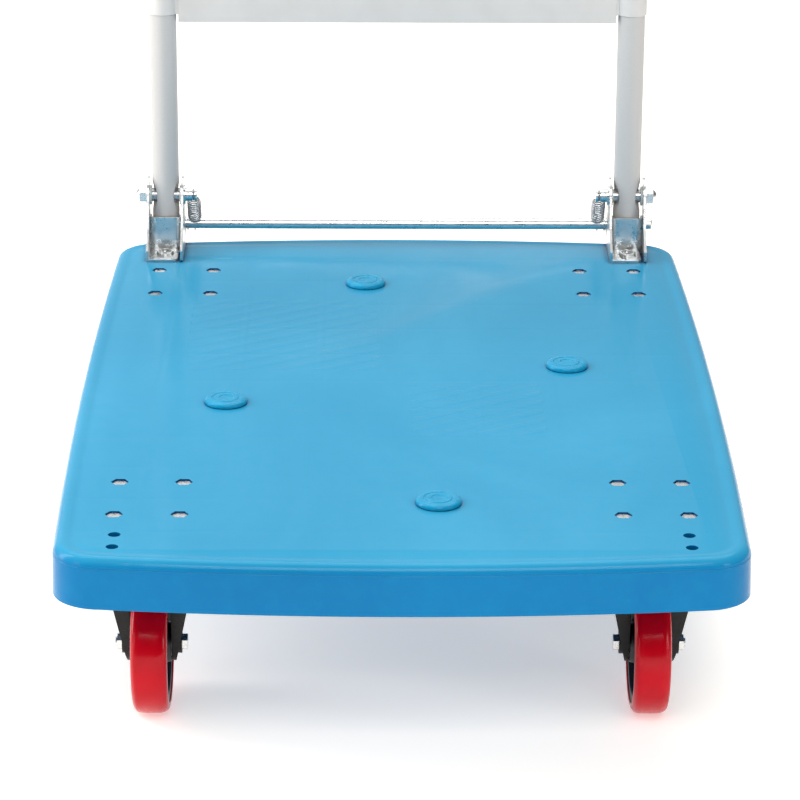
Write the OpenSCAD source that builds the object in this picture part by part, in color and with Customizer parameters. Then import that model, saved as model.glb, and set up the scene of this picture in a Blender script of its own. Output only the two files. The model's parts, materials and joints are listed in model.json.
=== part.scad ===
/* [Deck] */
// Length of the deck, front to handle end, measured over the bowed ends
deck_l = 900; // [860:10:960]
// Width of the deck, measured over the bowed sides
deck_w = 600; // [560:10:640]
// Depth of the deck from load face to skirt edge
deck_t = 45; // [42:1:50]
// Height of the load face above the floor
deck_top = 198; // [196:1:204]
// How far each long side bows outwards
side_bow = 8; // [4:1:12]
// How far each end bows outwards
end_bow = 20; // [10:1:24]
// Plan radius of the four corners
corner_r = 42; // [36:1:50]
// Radius that rolls the load face over into the skirt
edge_r = 9; // [6:1:12]
// Thickness of skirt and load face
wall = 4; // [3:0.5:5]

/* [Casters] */
// Wheel diameter
wheel_d = 125; // [120:1:127]
// Width of the tread
tread_w = 32; // [30:1:34]
// Distance of each caster centre from the deck's middle, across
caster_x = 217.5; // [212:0.5:220]
// Distance of each caster centre from the deck's middle, along
caster_y = 298; // [290:1:304]
// Bolt spacing of the caster plates across the deck
bolt_sx = 56; // [54:1:58]
// Bolt spacing of the caster plates along the deck
bolt_sy = 75; // [72:1:78]
// How far the swivel casters trail behind their kingpins
trail = 38; // [34:1:40]

/* [Handle] */
// Outside diameter of the handle tube
tube_d = 28; // [26:0.5:28]
// Distance of each handle leg from the middle
leg_x = 242; // [240:1:243]
// Distance of the handle legs behind the middle
leg_y = 413; // [411:1:413]
// Top of the handle above the load face
handle_h = 680; // [640:10:720]
// Height of the fold pivots above the load face
pivot_h = 58; // [58:0.5:59]
// Bend radius of the handle's top corners, to the tube's axis
bend_r = 70; // [60:5:90]
// Height of the panel's lower edge above the load face
panel_z = 246; // [240:2:260]
// Height of the panel
panel_h = 120; // [100:5:140]

/* [Foot bar] */
// Diameter of the release bar
bar_d = 12; // [11:0.5:12]
// How far the bar can be trodden down
bar_travel = 10; // [8:1:10]

/* [Hidden] */
$fn = 48;

blue = "deepskyblue";
skirt_z = deck_top - deck_t;
skin_z = deck_top - wall;
draft = 0.8;
side_r = (deck_l * deck_l / 4 + side_bow * side_bow) / (2 * side_bow);
end_r = (deck_w * deck_w / 4 + end_bow * end_bow) / (2 * end_bow);
rib_t = 3;
rib_pitch = 75;
rib_z = skirt_z + 12;
cap_r = 20;
cap_h = 5;
cap_stem_r = 12;
cap_shift = -8.5;
CAPS = [[-32, 300], [161, 50.5], [-161, -50.5], [32, -300]];

m8_r = 4;
m8_hole_r = 4.25;
m8_flats = 13;
m8_head_h = 5.3;
m8_nut_h = 6.5;
pocket_flats = 13.6;
pocket_d = 6.7;
washer_t = 1.6;

m10_r = 5;
m10_hole_r = 5.25;
bracket_holes = [381, 407.5];
screw_head_r = 8.8;
screw_head_h = 3.4;
screw_recess_r = 6.4;
bracket_boss_z = deck_top - 26;
nut_room_r = 13;

plate_z = skirt_z + 1;
plate_t = 3;
plate_x = 80;
plate_y = 102;
pad_z = plate_z + plate_t;
axle_z = wheel_d / 2;
leg_t = 2.5;
leg_in_x = 21.6;
leg_end_r = 16.5;
leg_lean = 11.5;
leg_knee_z = 112;
leg_rim_x = 17.6;
leg_rim_t = 2;

tube_r = tube_d / 2;
tube_wall = 1.5;
leg_foot_z = deck_top + 24.5;
bar_top_z = deck_top + handle_h - tube_r;
pivot_z = deck_top + pivot_h;
dent_r = 34;
dent_x = tube_r + dent_r - 5.5;
dent_y = -10;
sleeve_r = 7;
sleeve_x = tube_r + 0.5;
running = 0.05;
ear_in = tube_r + 2.5;
ear_t = 2.5;
ear_r = 19.5;
ear_out = ear_in + ear_t;
base_t = 3;
base_y = [362, 430];
cuff_top = 38.5;
cuff_x = 17.2;
cuff_t = 2.6;
cuff_front = 18.6;
cuff_bend = 7;
bar_y = leg_y + tube_r + bar_d / 2 + 1;
bar_z = deck_top + 20.4;
slot_r = bar_d / 2 + 0.2;
slot_back = bar_y + slot_r + 6;
bar_left = -263.5;
bar_right = 271;

pivot_washer_t = 1.5;
bolt_head_r = 6.8;
bolt_end_x = -ear_out - 13.5;
hook_x = 29;
wire_r = 0.8;
coil_r = 7.6;
coil_gap = 8;
bolt_hook_r = 5.4;
bar_hook_r = bar_d / 2 + 1.2;
ring_x = leg_x - ear_out - 2.6;
panel_t = 18;
panel_wall = 2.5;
sleeve_wall = 1.5;
sleeve_inset = 8;
panel_gap = 2.5;

ball_r = 4;
race_r = 24;
ball_z = 146.5;
crown_z = 139;
crown_t = 5;
crown_r = 33;
kingpin_r = 6;
kingpin_head_h = 7.5;
kingpin_z = crown_z - 2.3 - kingpin_head_h;

core_r = 53.5;
hub_r = 18;
rim_w = 29;
web_t = 6;
bearing_r = 14;
bearing_w = 8;
bearing_x = 17;
axle_sleeve_r = 6;
seat_in_x = leg_in_x - 1.5;
seat_x = leg_in_x + 4.6;

// ---------- shared shapes ----------

// one point at angle t on a circle round c
function on_arc(c, r, t) = c + r * [cos(t), sin(t)];

// plan outline of the deck, bowed on all four sides, drawn in by d
function bowed_outline(d) =
    let(r = corner_r - d,
        sr = side_r - d,
        er = end_r - d,
        sc = deck_w / 2 - side_r,
        ec = deck_l / 2 - end_r,
        // the corner circle lies inside both long arcs and touches them
        a = side_r - corner_r,
        b = end_r - corner_r,
        gap = norm([sc, ec]),
        turn = atan2(ec, -sc),
        across = (a * a - b * b + gap * gap) / (2 * gap),
        up = sqrt(a * a - across * across),
        cx = sc + across * cos(turn) - up * sin(turn),
        cy = across * sin(turn) + up * cos(turn),
        t0 = atan2(cy, cx - sc),
        t1 = atan2(cy - ec, cx),
        quarter = concat(
            [for (i = [0:6]) on_arc([sc, 0], sr, t0 * i / 6)],
            [for (i = [1:8]) on_arc([cx, cy], r, t0 + (t1 - t0) * i / 8)],
            [for (i = [1:5]) on_arc([0, ec], er, t1 + (90 - t1) * i / 5)]))
    concat(quarter,
        [for (i = [len(quarter) - 2:-1:0]) [-quarter[i].x, quarter[i].y]],
        [for (i = [1:len(quarter) - 1]) -quarter[i]],
        [for (i = [len(quarter) - 2:-1:1]) [quarter[i].x, -quarter[i].y]]);

module outline_slab(d, z, h) {
    translate([0, 0, z]) linear_extrude(h) polygon(bowed_outline(d));
}

module hex_prism(flats, h) {
    cylinder(h = h, d = flats / cos(30), $fn = 6);
}

module washer(r_out, r_in, h) {
    difference() {
        cylinder(h = h, r = r_out);
        translate([0, 0, -1]) cylinder(h = h + 2, r = r_in);
    }
}

// a cylinder along X, from x0 to x1
module x_rod(r, x0, x1) {
    translate([x0, 0, 0]) rotate([0, 90, 0]) cylinder(h = x1 - x0, r = r);
}

module x_hex(flats, x0, x1) {
    translate([x0, 0, 0]) rotate([0, 90, 0]) hex_prism(flats, x1 - x0);
}

module x_washer(r_out, r_in, x0, x1) {
    difference() {
        x_rod(r_out, x0, x1);
        x_rod(r_in, x0 - 1, x1 + 1);
    }
}

module at_caster_bolts() {
    for (cx = [-caster_x, caster_x], cy = [-caster_y, caster_y],
         bx = [-bolt_sx / 2, bolt_sx / 2], by = [-bolt_sy / 2, bolt_sy / 2])
        translate([cx + bx, cy + by, 0]) children();
}

module at_bracket_holes(ends) {
    for (x = [-leg_x, leg_x], e = ends, y = bracket_holes)
        translate([x, e * y, 0]) children();
}

module at_pivots() {
    for (s = [-1, 1])
        translate([s * leg_x, leg_y, pivot_z]) scale([s, 1, 1]) children();
}

// ---------- deck ----------

module deck_shell() {
    difference() {
        hull() {
            outline_slab(0, skirt_z, 1);
            for (t = [0:22.5:90])
                outline_slab(draft + edge_r * (1 - cos(t)),
                    deck_top - edge_r * (1 - sin(t)) - 2, 2);
        }
        outline_slab(draft + wall, skirt_z - 1, deck_t - wall + 1);
    }
}

module deck_ribs() {
    intersection() {
        outline_slab(draft + 2, rib_z, skin_z - rib_z + 1);
        union() {
            for (i = [-3:3])
                translate([i * rib_pitch - rib_t / 2, -deck_l / 2, rib_z])
                    cube([rib_t, deck_l, deck_t]);
            for (j = [-5:5])
                translate([-deck_w / 2, j * rib_pitch - rib_t / 2, rib_z])
                    cube([deck_w, rib_t, deck_t]);
        }
    }
}

// box walls and bolt posts that carry one caster plate
module caster_seat() {
    h = skin_z - pad_z + 1;
    translate([0, 0, pad_z]) {
        difference() {
            translate([-plate_x / 2, -plate_y / 2, 0]) cube([plate_x, plate_y, h]);
            translate([-plate_x / 2 + wall, -plate_y / 2 + wall, -1])
                cube([plate_x - 2 * wall, plate_y - 2 * wall, h]);
        }
        for (bx = [-bolt_sx / 2, bolt_sx / 2], by = [-bolt_sy / 2, bolt_sy / 2])
            translate([bx, by, 0]) cylinder(h = h, r = 11);
        cylinder(h = h, r = 14);
    }
}

module deck() {
    color(blue)
    difference() {
        union() {
            deck_shell();
            deck_ribs();
            for (x = [-caster_x, caster_x], y = [-caster_y, caster_y])
                translate([x, y, 0]) caster_seat();
            at_bracket_holes([-1, 1])
                translate([0, 0, bracket_boss_z])
                    cylinder(h = skin_z - bracket_boss_z + 1, r = 12);
            for (c = CAPS)
                translate([c.x, c.y + cap_shift, skin_z - 12]) cylinder(h = 13, r = 16);
        }
        at_caster_bolts() {
            translate([0, 0, pad_z - 2]) cylinder(h = deck_t, r = m8_hole_r);
            translate([0, 0, deck_top - pocket_d]) hex_prism(pocket_flats, pocket_d + 1);
        }
        at_bracket_holes([-1, 1]) {
            translate([0, 0, bracket_boss_z - 2]) cylinder(h = deck_t, r = m10_hole_r);
            // room in the ribs for the nut and washer
            translate([0, 0, rib_z - 1])
                cylinder(h = bracket_boss_z - rib_z + 1, r = nut_room_r);
        }
        for (c = CAPS)
            translate([c.x, c.y + cap_shift, skin_z - 14]) cylinder(h = 30, r = cap_stem_r);
    }
}

module round_caps() {
    color(blue)
    for (c = CAPS)
        translate([c.x, c.y + cap_shift, 0]) {
            translate([0, 0, skin_z - 9]) cylinder(h = wall + 9, r = cap_stem_r);
            translate([0, 0, deck_top]) rotate_extrude() {
                square([cap_r - 3, cap_h]);
                square([cap_r, cap_h - 3]);
                translate([cap_r - 3, cap_h - 3]) intersection() {
                    circle(r = 3);
                    square(3);
                }
            }
        }
}

// ---------- handle brackets ----------

// side wall seen along X: y and z are relative to the load face
module bracket_side() {
    slot_top = bar_z - deck_top;
    difference() {
        side_blank();
        translate([leg_y, pivot_h]) circle(r = m10_r + 0.1);
        translate([bar_y, slot_top]) circle(r = slot_r);
        translate([bar_y, slot_top - bar_travel]) circle(r = slot_r);
        translate([bar_y - slot_r, slot_top - bar_travel]) square([2 * slot_r, bar_travel]);
    }
}

module side_blank() {
    front = base_y[0];
    translate([leg_y, pivot_h]) circle(r = ear_r);
    polygon([[front + 2, 0], [slot_back - 3, 0], [slot_back, 3], [slot_back, 33],
        [leg_y + ear_r * cos(20), pivot_h + ear_r * sin(20)],
        [leg_y - ear_r * cos(25), pivot_h + ear_r * sin(25)],
        [leg_y - 30, 31], [front, 12], [front, 2]]);
}

module x_plate(t) {
    rotate([90, 0, 90]) linear_extrude(t) children();
}

// plan of the bent front, with its two front corners rounded
module cuff_plan(half, front, r) {
    translate([-half, r - front]) square([2 * half, front]);
    translate([r - half, -front]) square([2 * (half - r), r]);
    for (s = [-1, 1]) translate([s * (half - r), r - front]) circle(r = r);
}

module bracket() {
    color("gainsboro")
    difference() {
        union() {
            translate([-ear_out, 0, 0]) x_plate(ear_t) bracket_side();
            translate([ear_in, 0, 0]) x_plate(ear_t) bracket_side();
            translate([-ear_out, base_y[0], 0])
                cube([ear_out + ear_in - 3, base_y[1] - base_y[0], base_t]);
            // bent front that the foot of the tube stands behind
            translate([0, leg_y, 0]) linear_extrude(cuff_top) difference() {
                cuff_plan(cuff_x, cuff_front, cuff_bend);
                cuff_plan(cuff_x - cuff_t, cuff_front - cuff_t, cuff_bend - cuff_t);
                translate([-30, -6]) square(60);
            }
        }
        for (y = bracket_holes)
            translate([0, y, -1]) cylinder(h = base_t + 2, r = m10_hole_r);
        // the base's loose corner is rounded off
        translate([ear_in - 3, base_y[0], -1]) difference() {
            translate([-6, -1, 0]) cube([7, 7, base_t + 2]);
            translate([-6, 6, 0]) cylinder(h = base_t + 2, r = 6);
        }
    }
}

module bracket_left() {
    translate([-leg_x, 0, deck_top]) bracket();
}

module bracket_right() {
    translate([leg_x, 0, deck_top]) bracket();
}

module bracket_screws() {
    seat = deck_top + base_t;
    color("silver")
    at_bracket_holes([1]) difference() {
        union() {
            translate([0, 0, bracket_boss_z - 14])
                cylinder(h = seat - bracket_boss_z + 14, r = m10_r);
            translate([0, 0, seat]) cylinder(h = screw_head_h - 0.8, r = screw_head_r);
            translate([0, 0, seat + screw_head_h - 0.8])
                cylinder(h = 0.8, r1 = screw_head_r, r2 = screw_head_r - 0.8);
        }
        translate([0, 0, seat + 1]) cylinder(h = screw_head_h, r = screw_recess_r);
        translate([0, 0, seat - 3]) hex_prism(8, 5);
    }
}

module bracket_washers() {
    color("silver")
    at_bracket_holes([1])
        translate([0, 0, bracket_boss_z - 2]) washer(10, m10_r, 2);
}

module bracket_nuts() {
    color("silver")
    at_bracket_holes([1]) translate([0, 0, bracket_boss_z - 10.4]) difference() {
        hex_prism(16, 8.4);
        translate([0, 0, -1]) cylinder(h = 11, r = m10_r);
    }
}

// ---------- fold pivots, drawn with +X pointing outboard ----------

module pivot_bolts() {
    color("silver")
    at_pivots() {
        x_rod(m10_r, -ear_out - pivot_washer_t, ear_out + 10);
        difference() {
            x_rod(bolt_head_r, bolt_end_x, -ear_out - pivot_washer_t);
            // groove that holds the spring's hook, and a hex socket in the end
            x_washer(12, 4.4, -hook_x - 1.2, -hook_x + 1.2);
            x_hex(5, bolt_end_x - 1, bolt_end_x + 4);
        }
    }
}

module pivot_cap_nuts() {
    color("silver")
    at_pivots() difference() {
        union() {
            x_hex(17, ear_out + pivot_washer_t, ear_out + 8.5);
            translate([ear_out + 5.5, 0, 0]) rotate([0, 90, 0]) rotate_extrude()
                intersection() {
                    circle(r = 7.5);
                    square(8);
                }
        }
        x_rod(m10_r, ear_out, ear_out + 10);
    }
}

module pivot_outer_washers() {
    color("silver")
    at_pivots() {
        x_washer(10, m10_r, ear_out, ear_out + pivot_washer_t);
        x_washer(10, m10_r, -ear_out - pivot_washer_t, -ear_out);
    }
}

module pivot_thrust_washers() {
    color("white")
    at_pivots() {
        x_washer(10, m10_r, sleeve_x + 0.1, ear_in);
        x_washer(10, m10_r, -ear_in, -sleeve_x - 0.1);
    }
}

// ---------- handle ----------

// solid that follows the handle's U at radius r; pressed grows the thumb-shaped dents
module u_path(r, pressed) {
    leg_top = bar_top_z - bend_r;
    difference() {
        union() {
            for (s = [-1, 1]) {
                translate([s * leg_x, leg_y, leg_foot_z - (pressed ? 0 : 1)])
                    cylinder(h = leg_top - leg_foot_z + (pressed ? 0 : 1), r = r);
                translate([s * (leg_x - bend_r), leg_y, leg_top])
                    scale([s, 1, 1]) rotate([90, 0, 0])
                        rotate_extrude(angle = 90) translate([bend_r, 0]) circle(r = r);
            }
            translate([0, leg_y, bar_top_z])
                x_rod(r, -leg_x + bend_r, leg_x - bend_r);
        }
        for (s = [-1, 1], d = [-1, 1])
            translate([s * leg_x + d * dent_x, leg_y + dent_y, pivot_z])
                sphere(r = dent_r + (pressed ? 0 : tube_wall));
    }
}

module handle_tube() {
    color("silver")
    difference() {
        u_path(tube_r, true);
        u_path(tube_r - tube_wall, false);
        at_pivots() x_rod(sleeve_r, -20, 20);
    }
}

module pivot_sleeves() {
    color("gray")
    at_pivots() x_washer(sleeve_r, m10_r + running, -sleeve_x, sleeve_x);
}

// ---------- panel between the handle's legs ----------

// both halves as one solid, with the legs' bores through its sleeves
module panel_body() {
    half = leg_x - tube_r - panel_gap;
    sleeve_h = panel_h - 2 * sleeve_inset;
    difference() {
        union() {
            translate([-half, -panel_t / 2, 0]) cube([2 * half, panel_t, panel_h]);
            for (s = [-1, 1]) translate([s * leg_x, 0, sleeve_inset]) {
                cylinder(h = sleeve_h, r = tube_r + sleeve_wall);
                scale([s, 1, 1]) translate([-tube_r - panel_gap - 1, -panel_t / 2 + 1, 0])
                    cube([tube_r, panel_t - 2, sleeve_h]);
            }
        }
        for (s = [-1, 1]) translate([s * leg_x, 0, -1])
            cylinder(h = panel_h + 2, r = tube_r);
        // hollow inside, with a post left for each screw
        difference() {
            translate([-half + 6, -panel_t / 2 + panel_wall, panel_wall])
                cube([2 * half - 12, panel_t - 2 * panel_wall, panel_h - 2 * panel_wall]);
            at_panel_screws() rotate([90, 0, 0]) cylinder(h = panel_t, r = 5, center = true);
        }
    }
}

module at_panel_screws() {
    for (x = [-200, 0, 200], z = [18, panel_h - 18])
        translate([x, 0, z]) children();
}

module panel_front() {
    color("lightgray")
    translate([0, leg_y, deck_top + panel_z]) difference() {
        intersection() {
            panel_body();
            translate([-300, -30, -1]) cube([600, 30, panel_h + 2]);
        }
        at_panel_screws() rotate([90, 0, 0])
            translate([0, 0, -1]) cylinder(h = 6.5, r = 1.8);
    }
}

module panel_back() {
    color("lightgray")
    translate([0, leg_y, deck_top + panel_z]) difference() {
        intersection() {
            panel_body();
            translate([-300, 0, -1]) cube([600, 30, panel_h + 2]);
        }
        at_panel_screws() rotate([-90, 0, 0]) {
            translate([0, 0, -1]) cylinder(h = 20, r = 2);
            translate([0, 0, 6]) cylinder(h = 20, r = 3.8);
        }
    }
}

module panel_screws() {
    color("gray")
    translate([0, leg_y, deck_top + panel_z])
        at_panel_screws() rotate([-90, 0, 0]) difference() {
            union() {
                translate([0, 0, -5]) cylinder(h = 11, r = 1.8);
                translate([0, 0, 6]) cylinder(h = 2.4, r = 3.6);
            }
            translate([-2.4, -0.5, 7.2]) cube([4.8, 1, 2]);
            translate([-0.5, -2.4, 7.2]) cube([1, 4.8, 2]);
        }
}

// ---------- release bar ----------

module release_bar() {
    color("silver")
    translate([0, bar_y, bar_z]) difference() {
        union() {
            x_rod(bar_d / 2, bar_left + 1, bar_right - 1);
            translate([bar_right - 1, 0, 0]) rotate([0, 90, 0])
                cylinder(h = 1, r1 = bar_d / 2, r2 = bar_d / 2 - 1);
            translate([bar_left + 1, 0, 0]) rotate([0, -90, 0])
                cylinder(h = 1, r1 = bar_d / 2, r2 = bar_d / 2 - 1);
        }
        for (s = [-1, 1]) translate([s * ring_x, 0, 0])
            x_washer(bar_d, bar_d / 2 - 1, -0.6, 0.6);
    }
}

// spring rings in the bar's grooves, against the inner faces of the brackets
module bar_rings() {
    color("gray")
    for (s = [-1, 1])
        translate([s * ring_x, bar_y, bar_z]) difference() {
            x_washer(bar_d / 2 + 2, bar_d / 2 - 1, -0.6, 0.6);
            translate([-2, -1.5, -10]) cube([4, 3, 8]);
        }
}

// return spring from the bolt's hook groove down to the bar, drawn along its own axis
module spring(x) {
    top = [leg_y, pivot_z];
    foot = [bar_y, bar_z];
    reach = norm(foot - top);
    tilt = atan2(foot.x - top.x, top.y - foot.y);
    coil_foot = bar_hook_r + 2;
    color("silver")
    translate([x, top.x, top.y]) rotate([tilt, 0, 0]) {
        translate([0, 0, coil_foot - reach]) difference() {
            cylinder(h = reach - coil_gap - coil_foot, r = coil_r + wire_r);
            translate([0, 0, -1]) cylinder(h = reach, r = coil_r - wire_r);
        }
        hook(bolt_hook_r, coil_gap);
        translate([0, 0, -reach]) rotate([180, 0, 0]) hook(bar_hook_r, coil_foot);
    }
}

// wire ring round a pin across X, bridged to the coil's end at depth gap below it
module hook(r, gap) {
    rotate([0, 90, 0]) rotate_extrude() translate([r, 0]) circle(r = wire_r, $fn = 16);
    translate([-wire_r, -coil_r, -gap - 0.4]) cube([2 * wire_r, 2 * coil_r, gap - r + 0.2]);
}

module spring_left() {
    spring(-leg_x + hook_x);
}

module spring_right() {
    spring(leg_x - hook_x);
}

// ---------- caster fastenings ----------

module caster_bolts() {
    color("silver")
    at_caster_bolts() {
        translate([0, 0, plate_z - 10])
            cylinder(h = deck_top - pocket_d - plate_z + 10.5, r = m8_r);
        translate([0, 0, deck_top - pocket_d]) intersection() {
            hex_prism(m8_flats, m8_head_h);
            cylinder(h = m8_head_h, r1 = 12, r2 = 6.7);
        }
    }
}

module caster_washers() {
    color("silver")
    at_caster_bolts()
        translate([0, 0, plate_z - washer_t]) washer(8, m8_r, washer_t);
}

module caster_nuts() {
    color("silver")
    at_caster_bolts() translate([0, 0, plate_z - washer_t - m8_nut_h]) difference() {
        hex_prism(m8_flats, m8_nut_h);
        translate([0, 0, -1]) cylinder(h = 10, r = m8_r);
    }
}

// ---------- caster forks ----------

module caster_plate() {
    difference() {
        translate([0, 0, plate_z]) linear_extrude(plate_t) {
            square([plate_x - 16, plate_y], center = true);
            square([plate_x, plate_y - 16], center = true);
            for (x = [-1, 1], y = [-1, 1])
                translate([x * (plate_x / 2 - 8), y * (plate_y / 2 - 8)]) circle(r = 8);
        }
        for (bx = [-bolt_sx / 2, bolt_sx / 2], by = [-bolt_sy / 2, bolt_sy / 2])
            translate([bx, by, plate_z - 1]) cylinder(h = plate_t + 2, r = m8_hole_r);
    }
}

// outline of one fork leg along X: a taper from its root down to a round foot
module leg_outline(root_y, root_w, root_z, foot_y) {
    polygon([[root_y - root_w / 2, root_z], [root_y + root_w / 2, root_z],
        [foot_y + leg_end_r, axle_z], [foot_y - leg_end_r, axle_z]]);
    translate([foot_y, axle_z]) circle(r = leg_end_r);
}

// both legs of a fork: upright above the knee, leaning in below it
module fork_legs(root_y, root_w, root_z, foot_y) {
    knee_x = leg_in_x + (leg_knee_z - axle_z) * tan(leg_lean);
    for (s = [-1, 1]) scale([s, 1, 1]) {
        intersection() {
            translate([knee_x, 0, 0]) x_plate(leg_t)
                leg_outline(root_y, root_w, root_z, foot_y);
            translate([0, -100, leg_knee_z - 0.3]) cube([100, 300, 100]);
        }
        intersection() {
            multmatrix([[1, 0, tan(leg_lean), leg_in_x - axle_z * tan(leg_lean)],
                    [0, 1, 0, 0], [0, 0, 1, 0]])
                x_plate(leg_t) leg_outline(root_y, root_w, root_z, foot_y);
            translate([0, -100, 0]) cube([100, 300, leg_knee_z]);
        }
        // rolled rim that stiffens the leg, turned in towards the wheel
        intersection() {
            translate([leg_rim_x, 0, 0]) x_plate(40) difference() {
                leg_outline(root_y, root_w, root_z, foot_y);
                offset(delta = -leg_rim_t) leg_outline(root_y, root_w, root_z, foot_y);
            }
            union() {
                translate([0, -100, leg_knee_z - 0.3]) cube([knee_x + leg_t, 300, 100]);
                multmatrix([[1, 0, tan(leg_lean), leg_in_x - axle_z * tan(leg_lean)],
                        [0, 1, 0, 0], [0, 0, 1, 0]])
                    translate([leg_t - 60, -100, 0]) cube([60, 300, leg_knee_z]);
            }
        }
        // flat seat for the axle's head and nut
        translate([0, foot_y, axle_z]) x_rod(10, seat_in_x, seat_x);
    }
}

module axle_hole(y) {
    translate([0, y, axle_z]) x_rod(m8_r, -50, 50);
}

module rigid_fork(side) {
    color("black")
    translate([side * caster_x, -caster_y, 0]) difference() {
        union() {
            caster_plate();
            fork_legs(0, 58, plate_z + 0.5, 0);
        }
        axle_hole(0);
    }
}

module rigid_fork_left() {
    rigid_fork(-1);
}

module rigid_fork_right() {
    rigid_fork(1);
}

// plate with the ring that holds the upper ball race
module swivel_plate(side) {
    color("black")
    translate([side * caster_x, caster_y, 0]) difference() {
        union() {
            caster_plate();
            translate([0, 0, ball_z]) cylinder(h = plate_z - ball_z + 1, r = crown_r - 1);
        }
        translate([0, 0, ball_z - 1]) cylinder(h = plate_z - ball_z - 0.5, r = race_r - 6);
        translate([0, 0, plate_z - 4]) cylinder(h = 10, r = kingpin_r);
        ball_groove();
    }
}

module ball_groove() {
    translate([0, 0, ball_z]) rotate_extrude()
        translate([race_r, 0]) circle(r = ball_r + 0.1);
}

module swivel_plate_left() {
    swivel_plate(-1);
}

module swivel_plate_right() {
    swivel_plate(1);
}

module kingpins() {
    color("silver")
    for (s = [-1, 1]) translate([s * caster_x, caster_y, 0]) {
        translate([0, 0, kingpin_z]) cylinder(h = pad_z - kingpin_z, r = kingpin_r);
        translate([0, 0, kingpin_z]) hex_prism(18, kingpin_head_h);
    }
}

module swivel_fork(side) {
    color("black")
    translate([side * caster_x, caster_y, 0]) difference() {
        union() {
            translate([0, 0, crown_z]) cylinder(h = crown_t, r = crown_r);
            translate([-38.5, -20, crown_z - 2]) cube([77, 40, 3]);
            fork_legs(0, 50, crown_z + 0.5, trail);
        }
        translate([0, 0, crown_z - 4]) cylinder(h = 12, r = kingpin_r + running);
        ball_groove();
        axle_hole(trail);
    }
}

module swivel_fork_left() {
    swivel_fork(-1);
}

module swivel_fork_right() {
    swivel_fork(1);
}

module balls(side) {
    count = 16;
    color("lightgray")
    translate([side * caster_x, caster_y, ball_z])
        for (i = [0:count - 1]) rotate(i * 360 / count)
            translate([race_r, 0, 0]) sphere(r = ball_r, $fn = 24);
}

module balls_left() {
    balls(-1);
}

module balls_right() {
    balls(1);
}

// ---------- wheels, drawn about their axle along X ----------

module at_wheel(side, rear) {
    translate([side * caster_x, rear ? caster_y + trail : -caster_y, axle_z]) children();
}

// ring swept about X from a profile given as [x, radius] shapes
module x_revolve() {
    rotate([0, 90, 0]) rotate_extrude() children();
}

module tyre() {
    r = wheel_d / 2;
    shoulder = 6;
    color("red")
    x_revolve() difference() {
        union() {
            translate([core_r, -tread_w / 2 + shoulder])
                square([r - core_r, tread_w - 2 * shoulder]);
            translate([core_r, -tread_w / 2])
                square([r - core_r - shoulder, tread_w]);
            for (s = [-1, 1])
                translate([r - shoulder, s * (tread_w / 2 - shoulder)]) circle(r = shoulder);
        }
        translate([core_r - 20, -tread_w]) square([20, 2 * tread_w]);
    }
}

module core() {
    ribs = 8;
    color("black") {
        x_revolve() {
            translate([core_r - 7, -rim_w / 2]) square([7, rim_w]);
            translate([hub_r - 3, -web_t / 2]) square([core_r - hub_r, web_t]);
            translate([bearing_r, -bearing_x]) square([hub_r - bearing_r, 2 * bearing_x]);
            translate([bearing_r - 3, -bearing_x + bearing_w])
                square([5, 2 * bearing_x - 2 * bearing_w]);
        }
        for (i = [0:ribs - 1]) rotate([i * 360 / ribs, 0, 0])
            translate([-rim_w / 2 + 3, -1.75, hub_r - 1])
                cube([rim_w - 6, 3.5, core_r - hub_r - 5]);
    }
}

module wheel_bearings() {
    color("silver")
    for (s = [-1, 1]) scale([s, 1, 1])
        x_washer(bearing_r, axle_sleeve_r + running, bearing_x - bearing_w, bearing_x - 0.3);
}

// distance tubes that keep the hub central between the fork's legs
module spacers() {
    color("gray")
    x_washer(axle_sleeve_r, m8_r, -seat_in_x + running, seat_in_x - running);
}

module axle_bolt() {
    color("silver") {
        x_rod(m8_r, -seat_x, seat_x + 6);
        x_hex(m8_flats, -seat_x - 5, -seat_x);
    }
}

module axle_nut() {
    color("silver")
    difference() {
        x_hex(m8_flats, seat_x, seat_x + 4.5);
        x_rod(m8_r, seat_x - 1, seat_x + 8);
    }
}

module tyre_front_left() {
    at_wheel(-1, false) tyre();
}

module tyre_front_right() {
    at_wheel(1, false) tyre();
}

module tyre_rear_left() {
    at_wheel(-1, true) tyre();
}

module tyre_rear_right() {
    at_wheel(1, true) tyre();
}

module core_front_left() {
    at_wheel(-1, false) core();
}

module core_front_right() {
    at_wheel(1, false) core();
}

module core_rear_left() {
    at_wheel(-1, true) core();
}

module core_rear_right() {
    at_wheel(1, true) core();
}

module bearings_front_left() {
    at_wheel(-1, false) wheel_bearings();
}

module bearings_front_right() {
    at_wheel(1, false) wheel_bearings();
}

module bearings_rear_left() {
    at_wheel(-1, true) wheel_bearings();
}

module bearings_rear_right() {
    at_wheel(1, true) wheel_bearings();
}

module spacers_front() {
    for (s = [-1, 1]) at_wheel(s, false) spacers();
}

module spacers_rear_left() {
    at_wheel(-1, true) spacers();
}

module spacers_rear_right() {
    at_wheel(1, true) spacers();
}

module axle_bolts_front() {
    for (s = [-1, 1]) at_wheel(s, false) scale([s, 1, 1]) axle_bolt();
}

module axle_bolt_rear_left() {
    at_wheel(-1, true) scale([-1, 1, 1]) axle_bolt();
}

module axle_bolt_rear_right() {
    at_wheel(1, true) axle_bolt();
}

module axle_nuts_front() {
    for (s = [-1, 1]) at_wheel(s, false) scale([s, 1, 1]) axle_nut();
}

module axle_nut_rear_left() {
    at_wheel(-1, true) scale([-1, 1, 1]) axle_nut();
}

module axle_nut_rear_right() {
    at_wheel(1, true) axle_nut();
}

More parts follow.
